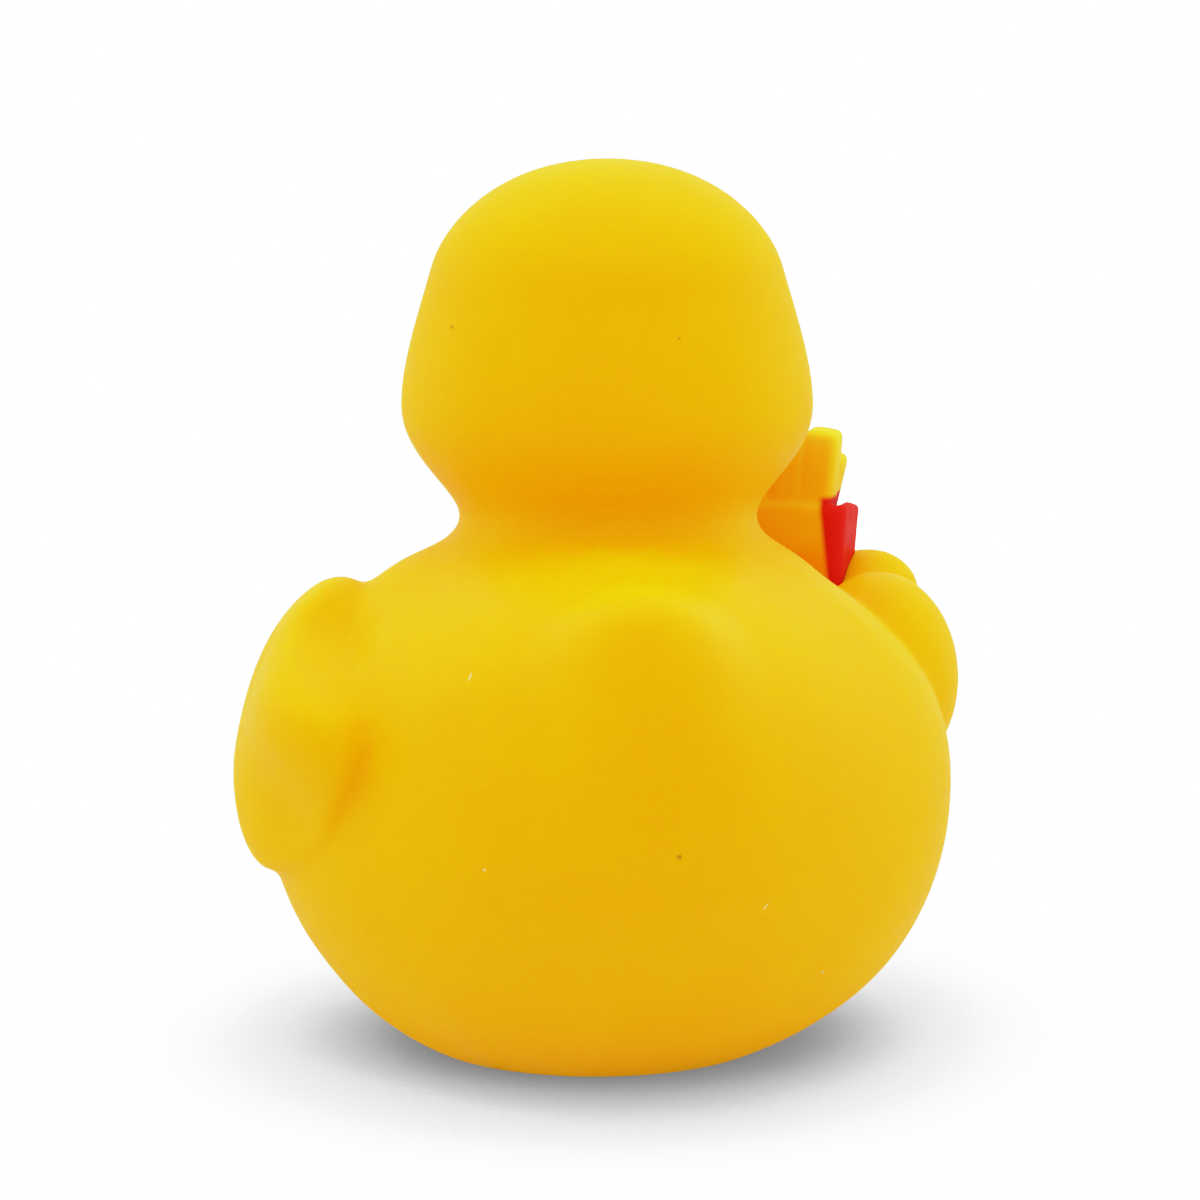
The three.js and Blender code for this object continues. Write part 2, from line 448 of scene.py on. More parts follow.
def edit(piece, whole=False):
    """Opens a piece in edit mode with nothing in it selected, or the whole of it."""
    take(piece)
    bpy.ops.object.mode_set(mode="EDIT")
    bpy.context.tool_settings.mesh_select_mode = (True, False, False)
    bpy.ops.mesh.select_all(action="SELECT" if whole else "DESELECT")


def leave_edit():
    """Closes edit mode."""
    bpy.ops.object.mode_set(mode="OBJECT")


def select_where(piece, test):
    """Selects the vertices whose place passes the test. Works in edit mode."""
    mesh = bmesh.from_edit_mesh(piece.data)
    for vertex in mesh.verts:
        vertex.select = test(vertex.co)
    mesh.select_flush(True)
    mesh.select_flush(False)
    bmesh.update_edit_mesh(piece.data)


def select_faces(piece, test):
    """Selects only the faces that pass the test. Works in edit mode."""
    bpy.context.tool_settings.mesh_select_mode = (False, False, True)
    bpy.ops.mesh.select_all(action="DESELECT")
    mesh = bmesh.from_edit_mesh(piece.data)
    for face in mesh.faces:
        if test(face):
            face.select_set(True)
    bmesh.update_edit_mesh(piece.data)


def select_edges(piece, test):
    """Selects only the edges whose two ends pass the test. Works in edit mode."""
    bpy.context.tool_settings.mesh_select_mode = (False, True, False)
    bpy.ops.mesh.select_all(action="DESELECT")
    mesh = bmesh.from_edit_mesh(piece.data)
    for edge in mesh.edges:
        if test(edge.verts[0].co, edge.verts[1].co):
            edge.select_set(True)
    bmesh.update_edit_mesh(piece.data)


def turn_selection(angles):
    """Turns what is selected about Z, then Y, then X. A positive angle is counterclockwise."""
    for axis, angle in zip("ZYX", reversed(angles)):
        if angle:
            # With no window the operator turns the other way, hence the minus.
            bpy.ops.transform.rotate(value=-angle, orient_axis=axis, center_override=ORIGIN)


def stretch_selection(shares, about=ORIGIN):
    """Stretches what is selected along X, Y and Z."""
    bpy.ops.transform.resize(value=shares, center_override=about)


def add_ball(name, half_sizes, centre, turn=ORIGIN, around=72, rings=48):
    """A ball stretched to three half sizes in millimetres, turned and put in place."""
    begin()
    bpy.ops.mesh.primitive_uv_sphere_add(segments=around, ring_count=rings, radius=MM)
    piece = bpy.context.object
    piece.name = name
    edit(piece, whole=True)
    stretch_selection(half_sizes)
    turn_selection(turn)
    bpy.ops.transform.translate(value=Vector(centre) * MM)
    leave_edit()
    return piece


def draw_out(piece, at, reach, move):
    """Draws the surface near a point along, with a soft falloff. All in millimetres."""
    edit(piece)
    mesh = bmesh.from_edit_mesh(piece.data)
    handle = mesh.verts.new(Vector(at) * MM)
    handle.select = True
    bmesh.update_edit_mesh(piece.data)
    bpy.ops.transform.translate(
        value=Vector(move) * MM,
        use_proportional_edit=True,
        proportional_edit_falloff="SMOOTH",
        proportional_size=reach * MM,
    )
    bpy.ops.mesh.delete(type="VERT")
    leave_edit()


def push_over(piece, levels, steps):
    """Moves all that lies beyond each level by that level's step, like a pile pushed over.

    Levels and steps are in millimetres. Levels that fall push what lies below them.
    """
    edit(piece)
    upwards = levels[-1] > levels[0]
    for level, step in zip(levels, steps):
        if upwards:
            select_where(piece, lambda place: place.z > level * MM)
        else:
            select_where(piece, lambda place: place.z < level * MM)
        bpy.ops.transform.translate(value=Vector(step) * MM)
    leave_edit()


def spun(name, outline, around):
    """Spins an outline of (radius, height) points, in millimetres, into a closed form."""
    begin()
    bpy.ops.mesh.primitive_plane_add(size=MM)
    piece = bpy.context.object
    piece.name = name
    bpy.ops.object.mode_set(mode="EDIT")
    bpy.context.tool_settings.mesh_select_mode = (True, False, False)
    bpy.ops.mesh.merge(type="CENTER")
    corners = [Vector((radius, 0.0, height)) * MM for radius, height in outline]
    bpy.ops.transform.translate(value=corners[0])
    for start, end in zip(corners, corners[1:]):
        bpy.ops.mesh.extrude_vertices_move(TRANSFORM_OT_translate={"value": end - start})
    bpy.ops.mesh.select_all(action="SELECT")
    bpy.ops.mesh.spin(steps=around, angle=2 * math.pi, center=(0, 0, 0), axis=(0, 0, 1))
    bpy.ops.mesh.select_all(action="SELECT")
    bpy.ops.mesh.remove_doubles(threshold=0.002 * MM)
    bpy.ops.mesh.normals_make_consistent(inside=False)
    leave_edit()
    return piece


def sculpt(piece, move):
    """Gives every vertex the place, in millimetres, that move returns for its own."""
    places = np.empty(len(piece.data.vertices) * 3)
    piece.data.vertices.foreach_get("co", places)
    places = places.reshape(-1, 3) / MM
    moved = move(places[:, 0], places[:, 1], places[:, 2])
    piece.data.vertices.foreach_set("co", (np.stack(moved, axis=1) * MM).ravel())
    piece.data.update()


def joined(name, pieces):
    """Joins pieces into the first of them."""
    begin()
    for piece in pieces:
        piece.select_set(True)
    bpy.context.view_layer.objects.active = pieces[0]
    bpy.ops.object.join()
    pieces[0].name = name
    pieces[0].data.name = name
    return pieces[0]


def apply_modifier(piece, kind, **settings):
    """Adds a modifier with these settings and applies it."""
    take(piece)
    modifier = piece.modifiers.new(kind.title(), kind)
    for name, value in settings.items():
        setattr(modifier, name, value)
    bpy.ops.object.modifier_apply(modifier=modifier.name)


def moulded(piece, grid):
    """Makes overlapping forms one closed skin."""
    apply_modifier(piece, "REMESH", mode="VOXEL", voxel_size=grid, use_smooth_shade=True)


def skins(pieces):
    """A search tree of each piece's surface, taken before the pieces are joined."""
    return [BVHTree.FromPolygons(
        [vertex.co.copy() for vertex in piece.data.vertices],
        [tuple(face.vertices) for face in piece.data.polygons],
    ) for piece in pieces]


def ease_crease(piece, first, second, reach, rounds):
    """Eases the skin where two groups of forms meet, most at the crease itself."""
    group = piece.vertex_groups.new(name="crease")
    for vertex in piece.data.vertices:
        near = reach
        for group_skins in (first, second):
            found = [tree.find_nearest(vertex.co, reach)[3] for tree in group_skins]
            found = [distance for distance in found if distance is not None]
            gap = min(found) if found else reach
            near = gap if group_skins is first else max(near, gap)
        if near < reach:
            share = 1.0 - near / reach
            group.add([vertex.index], share * share * (3 - 2 * share), "REPLACE")
    apply_modifier(
        piece, "SMOOTH", factor=0.5, iterations=rounds, vertex_group="crease"
    )
    piece.vertex_groups.remove(piece.vertex_groups["crease"])


# ---- The duck's forms ----


def fullness(share, power):
    """How wide a form is at a share of its height, from 1 at the middle to 0 at the end."""
    return (1 - np.minimum(1, np.abs(share)) ** power) ** (1 / power)


def belly_radius(z, half_width):
    """The belly's half width at a height, in millimetres."""
    low = z < BODY_MIDDLE
    share = (z - BODY_MIDDLE) / np.where(low, BODY_BELOW, BODY_ABOVE)
    upper = fullness(share, BODY_ROUND)
    lower = fullness(share, BODY_FULL)
    return half_width * np.where(low, lower, upper)


def bezier(start, first, second, end, count):
    """Points on a curve of two handles, without its start."""
    places = []
    for step in range(1, count + 1):
        t = step / count
        s = 1 - t
        places.append(tuple(
            s * s * s * a + 3 * s * s * t * b + 3 * s * t * t * c + t * t * t * d
            for a, b, c, d in zip(start, first, second, end)
        ))
    return places


def soft_share(values, low, high):
    """From 0 at low to 1 at high, with no corner, for a row of values."""
    share = np.clip((values - low) / (high - low), 0, 1)
    return share * share * (3 - 2 * share)


def raise_tail(x, y, z):
    """Raises a soft ridge under the tail's tip that widens as it runs down the rump."""
    half = TAIL_HALF + TAIL_FLARE * np.maximum(0, TAIL_LEVEL - z)
    near = 1 - soft_share(np.abs(x), TAIL_SIDES[0] * half, TAIL_SIDES[1] * half)
    tall = soft_share(z, *TAIL_FOOT) * (1 - soft_share(z, *TAIL_TOP))
    behind = soft_share(y, *TAIL_REAR)
    return x, y + TAIL_RIDGE * near * tall * behind, z


def add_belly(sizes):
    """A round belly whose rump is drawn up and back into a blunt tail."""
    half_width = sizes.half_width / MM
    turns = np.linspace(-math.pi / 2, math.pi / 2, 73)
    heights = BODY_MIDDLE + np.where(
        turns < 0, BODY_BELOW * np.sin(turns), BODY_ABOVE * np.sin(turns)
    )
    radii = belly_radius(heights, half_width)
    radii[[0, -1]] = 0.0
    belly = spun("belly", list(zip(radii, heights)), 112)
    edit(belly)
    for side, depth in ((-1, sizes.chest), (1, sizes.rump)):
        select_where(belly, lambda place: place.y * side > 0.01 * MM)
        stretch_selection((1.0, depth / sizes.half_width, 1.0))
    leave_edit()
    levels = [SETTLE_LEVEL - 0.5 * step for step in range(18)]
    lean = [
        sizes.settle / MM * (1 - level / SETTLE_LEVEL) ** 1.5 for level in [*levels, 0.0]
    ]
    steps = [(after - before, 0.0, 0.0) for before, after in zip(lean, lean[1:])]
    push_over(belly, levels, steps)
    for at, reach, move in BELLY_DRAWS:
        draw_out(belly, at, reach, move)
    sculpt(belly, raise_tail)
    return belly


def add_head(sizes):
    """The head, with soft cheeks and a neck that flares into the back."""
    outline = [HEAD_TOP]
    for first, second, end, count in HEAD_CURVES:
        outline += bezier(outline[-1], first, second, end, count)
    outline += HEAD_ROOT
    head = spun("head", outline, 96)
    levels = [NECK_SLIDES[0] + 0.25 * step for step in range(35)]
    slide = soft_share(np.array(levels), *NECK_SLIDES)
    forward = sizes.head_forward / MM
    steps = [
        (HEAD_ASIDE * (after - before), forward * (before - after), 0.0)
        for before, after in zip(slide, slide[1:])
    ]
    push_over(head, levels[:-1], steps)
    return head


def add_bill():
    """The two halves of a broad, slightly open bill."""
    upper = add_ball("bill_upper", *BILL_UPPER)
    draw_out(upper, *BILL_DRAW)
    lower = add_ball("bill_lower", *BILL_LOWER)
    return [upper, lower]


def lay_on_flank(piece, half_width):
    """Wraps a flat form on the left flank: its x becomes the height off the skin."""

    def wrap(x, y, z):
        angle = y / half_width
        radius = belly_radius(z, half_width) + x
        return radius * np.cos(angle), radius * np.sin(angle), z

    sculpt(piece, wrap)


def add_left_wing(sizes, half_width):
    """A plump wing on the flank, narrow at its top, with a blunt tip at its rear."""
    sunk, front, height = [size / MM for size in sizes.left_half]
    wing = add_ball("left_wing", (1, 1, 1), (0, 0, 0), around=112, rings=80)

    def leaf(x, y, z):
        spread = np.hypot(y, z)
        plump = WING_PLUMP + WING_EDGE * soft_share(y, 0.0, 0.6)
        swell = (np.abs(x) ** plump + spread**plump) ** (-1 / plump)
        tall = WING_MIDDLE + height * z * swell
        low, wide, top = WING_REAR
        rear = low + (wide - low) * soft_share(tall, *WING_GROWS)
        rear -= (wide - top) * soft_share(tall, *WING_NARROWS)
        along = WING_SHIFT + y * swell * np.where(y > 0, rear, front)
        curl = WING_CURL * np.maximum(0, tall - WING_LEVEL) ** 2
        tip = WING_TIP * np.exp(-(((tall - WING_TIP_LEVEL) / WING_TIP_SPREAD) ** 2))
        tuck = WING_TUCK * (1 - soft_share(tall, *WING_TUCKS))
        proud = WING_PROUD + (tip - tuck) * soft_share(along, *WING_REARWARD)
        off = curl + x * swell * np.where(x > 0, proud, sunk)
        return off, along, tall

    sculpt(wing, leaf)
    lay_on_flank(wing, half_width)
    return wing


def add_right_wing(sizes):
    """The raised wing: its plump root on the flank, then lobes that close round the carton."""
    half = [size / MM for size in sizes.right_half]
    root = add_ball("right_wing", half, RAISED_WING_AT, around=96, rings=64)
    return [root, *(add_ball("lobe", *entry) for entry in LOBES)]


def add_recess_cutter():
    """The stepped plug that is cut from the foot to seat the squeaker."""
    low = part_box("squeaker")[0] / MM
    flange = -low.x + RECESS_ROOM
    outline = [
        (0, RECESS_START),
        (flange, RECESS_START),
        (flange, RECESS_STEP),
        (RECESS_BARREL, RECESS_STEP),
        (RECESS_BARREL, RECESS_TOP),
        (0, RECESS_TOP),
    ]
    return spun("recess", outline, 96)


def cut(piece, cutter):
    """Takes the cutter's form out of the piece and removes the cutter."""
    apply_modifier(
        piece, "BOOLEAN", operation="DIFFERENCE", solver="EXACT", object=cutter
    )
    bpy.data.objects.remove(cutter)


def shade_by_angle(piece, degrees):
    """Smooth shading, with the edges sharper than the angle left crisp."""
    take(piece)
    bpy.ops.object.shade_smooth_by_angle(angle=math.radians(degrees))


# ---- Materials ----


class Nodes:
    """Adds shader nodes to a tree from left to right and links them."""

    def __init__(self, tree):
        self.tree = tree
        self.column = 0

    def add(self, kind, inputs=None, **settings):
        node = self.tree.nodes.new("ShaderNode" + kind)
        node.location = (self.column * 190, 0)
        self.column += 1
        for name, value in settings.items():
            setattr(node, name, value)
        for name, value in (inputs or {}).items():
            self.feed(node.inputs[name], value)
        return node

    def feed(self, socket, value):
        if isinstance(value, bpy.types.NodeSocket):
            self.tree.links.new(value, socket)
        else:
            socket.default_value = value

    def math(self, operation, *values):
        node = self.add("Math", operation=operation)
        for socket, value in zip(node.inputs, values):
            self.feed(socket, value)
        return node.outputs[0]

    def between(self, value, low, high):
        """From 0 at low to 1 at high, or the other way round where low is the greater."""
        rising = low < high
        node = self.add("MapRange", interpolation_type="SMOOTHSTEP")
        self.feed(node.inputs["Value"], value)
        node.inputs["From Min"].default_value = min(low, high)
        node.inputs["From Max"].default_value = max(low, high)
        node.inputs["To Min"].default_value = 0.0 if rising else 1.0
        node.inputs["To Max"].default_value = 1.0 if rising else 0.0
        return node.outputs["Result"]

    def mix(self, share, first, second):
        node = self.add("Mix", data_type="RGBA")
        self.feed(node.inputs["Factor"], share)
        self.feed(node.inputs[6], first)
        self.feed(node.inputs[7], second)
        return node.outputs[2]


def new_group(name, inputs, outputs):
    """A shader node group with named sockets. Each is (name, kind, default)."""
    tree = bpy.data.node_groups.new(name, "ShaderNodeTree")
    for label, kind, default in inputs:
        socket = tree.interface.new_socket(
            name=label, in_out="INPUT", socket_type="NodeSocket" + kind
        )
        if default is not None:
            socket.default_value = default
    for label, kind in outputs:
        tree.interface.new_socket(
            name=label, in_out="OUTPUT", socket_type="NodeSocket" + kind
        )
    nodes = Nodes(tree)
    source = tree.nodes.new("NodeGroupInput")
    source.location = (-250, 0)
    sink = tree.nodes.new("NodeGroupOutput")
    return tree, nodes, source.outputs, sink


def build_satin_group():
    """Fine satin skin of moulded vinyl: its height, and a slow mottle of its colour."""
    tree, nodes, given, sink = new_group(
        "Satin Skin",
        [
            ("Position", "Vector", None),
            ("Grain Size", "Float", 0.0004),
            ("Mottle Size", "Float", 0.012),
        ],
        [("Height", "Float"), ("Mottle", "Float"), ("Dullness", "Float")],
    )

    def noise(share, size, detail, roughness):
        inputs = {
            "Vector": given["Position"],
            "Scale": nodes.math("DIVIDE", share, given[size]),
            "Detail": detail,
            "Roughness": roughness,
        }
        return nodes.add("TexNoise", inputs).outputs[0]

    grain = noise(1.0, "Grain Size", 2.0, 0.6)
    waves = noise(1.0, "Mottle Size", 3.0, 0.5)
    ripple = noise(0.25, "Grain Size", 1.0, 0.5)
    ripples = nodes.math("MULTIPLY", ripple, 0.6)
    height = nodes.math("MULTIPLY_ADD", grain, 0.4, ripples)
    links = tree.links
    links.new(height, sink.inputs["Height"])
    links.new(nodes.between(waves, 0.3, 0.7), sink.inputs["Mottle"])
    links.new(nodes.between(ripple, 0.35, 0.65), sink.inputs["Dullness"])
    return tree


def build_oval_group():
    """A painted oval or ball: 1 inside it, 0 outside, with a soft or crisp border."""
    tree, nodes, given, sink = new_group(
        "Painted Oval",
        [
            ("Position", "Vector", None),
            ("Centre", "Vector", (0.0, 0.0, 0.0)),
            ("Half Size", "Vector", (1.0, 1.0, 1.0)),
            ("Turn", "Vector", (0.0, 0.0, 0.0)),
            ("Border", "Float", 0.03),
        ],
        [("Mask", "Float")],
    )
    placed = nodes.add(
        "Mapping",
        {
            "Vector": given["Position"],
            "Location": given["Centre"],
            "Rotation": given["Turn"],
            "Scale": given["Half Size"],
        },
        vector_type="TEXTURE",
    )
    away = nodes.add("VectorMath", {0: placed.outputs[0]}, operation="LENGTH")
    outer = nodes.math("ADD", 1.0, given["Border"])
    inner = nodes.math("SUBTRACT", 1.0, given["Border"])
    mask = nodes.add(
        "MapRange",
        {
            "Value": away.outputs["Value"],
            "From Min": inner,
            "From Max": outer,
            "To Min": 1.0,
            "To Max": 0.0,
        },
        interpolation_type="SMOOTHSTEP",
    )
    tree.links.new(mask.outputs["Result"], sink.inputs["Mask"])
    return tree


def oval(nodes, position, centre, half, turn=ORIGIN, border=0.03):
    """Places the oval group. Centre and half sizes are in millimetres."""
    node = nodes.add("Group", node_tree=bpy.data.node_groups["Painted Oval"])
    nodes.feed(node.inputs["Position"], position)
    node.inputs["Centre"].default_value = Vector(centre) * MM
    node.inputs["Half Size"].default_value = Vector(half) * MM
    node.inputs["Turn"].default_value = turn
    node.inputs["Border"].default_value = border
    return node.outputs["Mask"]


def marks(nodes, position, places, border):
    """One mask of several ovals. Each is (middle, half sizes, turn)."""
    mask = 0.0
    for centre, half, turn in places:
        mask = nodes.math("MAXIMUM", oval(nodes, position, centre, half, turn, border), mask)
    return mask


def start_material(name, roughness):
    """A material with its object coordinates and its own Principled shader."""
    material = bpy.data.materials.new(name)
    material.use_nodes = True
    nodes = Nodes(material.node_tree)
    shader = material.node_tree.nodes["Principled BSDF"]
    shader.location = (4200, 0)
    material.node_tree.nodes["Material Output"].location = (4500, 0)
    shader.inputs["Roughness"].default_value = roughness
    where = nodes.add("TexCoord").outputs["Object"]
    return material, nodes, shader, where


def satin(nodes, where, grain, mottle):
    """Places the satin group with its two sizes in millimetres."""
    node = nodes.add("Group", node_tree=bpy.data.node_groups["Satin Skin"])
    nodes.feed(node.inputs["Position"], where)
    node.inputs["Grain Size"].default_value = grain * MM
    node.inputs["Mottle Size"].default_value = mottle * MM
    return node.outputs


def finish_skin(nodes, shader, skin, colour, dullness, depth, strength):
    """Feeds the colour, the dullness between two values and the grain, its depth in millimetres."""
    nodes.feed(shader.inputs["Base Color"], colour)
    low, high = dullness
    rough = nodes.add("MapRange", {"Value": skin["Dullness"], "To Min": low, "To Max": high})
    nodes.feed(shader.inputs["Roughness"], rough.outputs["Result"])
    inputs = {"Strength": strength, "Distance": depth * MM, "Height": skin["Height"]}
    nodes.feed(shader.inputs["Normal"], nodes.add("Bump", inputs).outputs["Normal"])


def with_alpha(colour):
    return (*colour, 1.0)


def soften_inside(shader, weight, scale):
    """Lets light wander inside soft vinyl, red furthest, and keeps its shine low."""
    shader.inputs["Specular IOR Level"].default_value = SHINE
    shader.subsurface_method = "RANDOM_WALK"
    shader.inputs["Subsurface Weight"].default_value = weight
    shader.inputs["Subsurface Radius"].default_value = WANDER
    shader.inputs["Subsurface Scale"].default_value = scale


def build_vinyl(finish):
    """Yellow vinyl with the paint of the bill and eyes."""
    material, nodes, shader, where = start_material("yellow_vinyl", 0.45)
    skin = satin(nodes, where, 0.45, 14)
    colour = nodes.mix(
        skin["Mottle"], with_alpha(finish.yellow), with_alpha(finish.amber)
    )
    specks = marks(nodes, where, SPECKS, MARK_BORDER)
    specks = nodes.math("MULTIPLY", specks, SPECK_STRENGTH)
    colour = nodes.mix(specks, colour, with_alpha(finish.speck))
    lint = marks(nodes, where, LINT, MARK_BORDER)
    lint = nodes.math("MULTIPLY", lint, LINT_STRENGTH)
    colour = nodes.mix(lint, colour, with_alpha(finish.lint))
    bill = marks(nodes, where, BILL_PAINT, 0.01)
    colour = nodes.mix(bill, colour, with_alpha(finish.orange))
    for side in (-1, 1):
        middle = (side * EYE_ASIDE, EYE_DEPTH, EYE_LEVEL)
        eye = oval(nodes, where, middle, EYE_HALF, border=0.02)
        colour = nodes.mix(eye, colour, with_alpha(finish.black))
        middle = (side * EYE_ASIDE + DOT_ASIDE, EYE_DEPTH, DOT_LEVEL)
        dot = oval(nodes, where, middle, DOT_HALF, border=0.06)
        colour = nodes.mix(dot, colour, DOT_WHITE)
    finish_skin(nodes, shader, skin, colour, (0.42, 0.5), 0.02, 0.25)
    soften_inside(shader, 0.6, 0.006)
    return material


def build_carton_vinyl(finish):
    """The same vinyl on the carton and fries, with the carton's front and sides painted red, a
    painted shade low on the carton and painted light at the tips of the fries.
    """
    material, nodes, shader, where = start_material("painted_carton", 0.42)
    skin = satin(nodes, where, 0.45, 9)
    placed = nodes.add("Mapping", {"Vector": where}, vector_type="TEXTURE")
    placed.inputs["Location"].default_value = CARTON_AT * MM
    placed.inputs["Rotation"].default_value = (0.0, 0.0, CARTON_TURN)
    own = nodes.add("SeparateXYZ", {"Vector": placed.outputs[0]})
    upright = nodes.math("MULTIPLY_ADD", skin["Mottle"], 0.0015, own.outputs["Z"])
    # The base takes a share of the fries' painted-light yellow everywhere.
    colour = nodes.mix(0.28, with_alpha(finish.yellow), with_alpha(finish.fry_painted_light))
    # Painted shade: a deeper orange low on the carton.
    lower = nodes.between(upright, *PAINTED_SHADE_LEVELS)
    colour = nodes.mix(lower, colour, with_alpha(finish.carton_painted_shade))
    # Painted light: a paler yellow towards the tips of the fries.
    tips = nodes.between(upright, *PAINTED_LIGHT_LEVELS)
    colour = nodes.mix(tips, colour, with_alpha(finish.fry_painted_light))
    across = nodes.math("ABSOLUTE", own.outputs["X"])
    flared = nodes.math("MULTIPLY_ADD", own.outputs["Z"], PAINT_FLARE, across)
    on_side = nodes.between(flared, *PAINT_ASIDE)
    under_spray = nodes.between(own.outputs["Z"], *PAINT_BELOW)
    side_paint = nodes.math("MULTIPLY", on_side, under_spray)
    on_front = nodes.between(own.outputs["Y"], *PAINT_FRONT)
    under_rim = nodes.between(own.outputs["Z"], *PAINT_RIM)
    front_paint = nodes.math("MULTIPLY", on_front, under_rim)
    painted = nodes.math("MAXIMUM", side_paint, front_paint)
    colour = nodes.mix(painted, colour, with_alpha(finish.red))
    finish_skin(nodes, shader, skin, colour, (0.38, 0.46), 0.02, 0.25)
    soften_inside(shader, 0.5, 0.003)
    return material


def build_plastic(finish):
    """Hard off-white plastic with faint flow marks."""
    material, nodes, shader, where = start_material("squeaker_plastic", 0.3)
    skin = satin(nodes, where, 0.3, 3)
    shade = tuple(0.93 * part for part in finish.plastic)
    colour = nodes.mix(skin["Mottle"], with_alpha(finish.plastic), with_alpha(shade))
    finish_skin(nodes, shader, skin, colour, (0.26, 0.36), 0.01, 0.15)
    return material


# ---- Operators ----


class OBJECT_OT_bath_duck_materials(bpy.types.Operator):
    """Mix the vinyl, the paints and the squeaker's plastic"""

    bl_idname = "object.bath_duck_materials"
    bl_label = "Mix Materials"

    def execute(self, context):
        finish = context.scene.bath_duck_finish
        build_satin_group()
        build_oval_group()
        build_vinyl(finish)
        build_carton_vinyl(finish)
        build_plastic(finish)
        return {"FINISHED"}


class OBJECT_OT_bath_duck_skin(bpy.types.Operator):
    """Mould the belly, tail, head, bill and wings as one skin"""

    bl_idname = "object.bath_duck_skin"
    bl_label = "Mould Duck"

    def execute(self, context):
        sizes = context.scene.bath_duck_body
        wings = context.scene.bath_duck_wings
        half_width = sizes.half_width / MM
        belly = add_belly(sizes)
        head = add_head(sizes)
        bill = add_bill()
        left = add_left_wing(wings, half_width)
        right = add_right_wing(wings)
        root_skin = skins(right[:1])
        lobe_skins = skins(right[1:])
        belly_skin = skins([belly])
        head_skin = skins([head])
        bill_skins = skins(bill)
        wing_skins = skins([left, *right])
        skin = joined("duck_skin", [belly, head, *bill, left, *right])
        moulded(skin, sizes.fineness)
        ease_crease(skin, belly_skin, head_skin, sizes.neck_fillet, NECK_ROUNDS)
        ease_crease(skin, root_skin, lobe_skins[:1], *ROOT_EASE)
        ease_crease(skin, lobe_skins[:1], lobe_skins[1:], *LOBE_EASE)
        ease_crease(skin, belly_skin, wing_skins, sizes.wing_fillet, WING_ROUNDS)
        ease_crease(skin, head_skin, bill_skins, *BILL_EASE)
        apply_modifier(skin, "SMOOTH", factor=0.5, iterations=2)
        edit(skin, whole=True)
        bpy.ops.mesh.bisect(
            plane_co=(0, 0, 0),
            plane_no=(0, 0, 1),
            use_fill=True,
            clear_inner=True,
            threshold=1e-7,
        )
        leave_edit()
        cut(skin, add_recess_cutter())
        shade_by_angle(skin, 40)
        self.keep_foot_flat(skin)
        skin.data.materials.clear()
        skin.data.materials.append(bpy.data.materials["yellow_vinyl"])
        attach(skin, "root")
        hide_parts("vinyl_duck")
        return {"FINISHED"}

    def keep_foot_flat(self, skin):
        """Marks the border of the flat foot as a crisp edge."""

        def in_foot(face):
            return face.normal.z < -FLAT and face.calc_center_median().z < FOOT_LEVEL * MM

        edit(skin)
        select_faces(skin, in_foot)
        bpy.ops.mesh.region_to_loop()
        bpy.ops.mesh.mark_sharp()
        leave_edit()


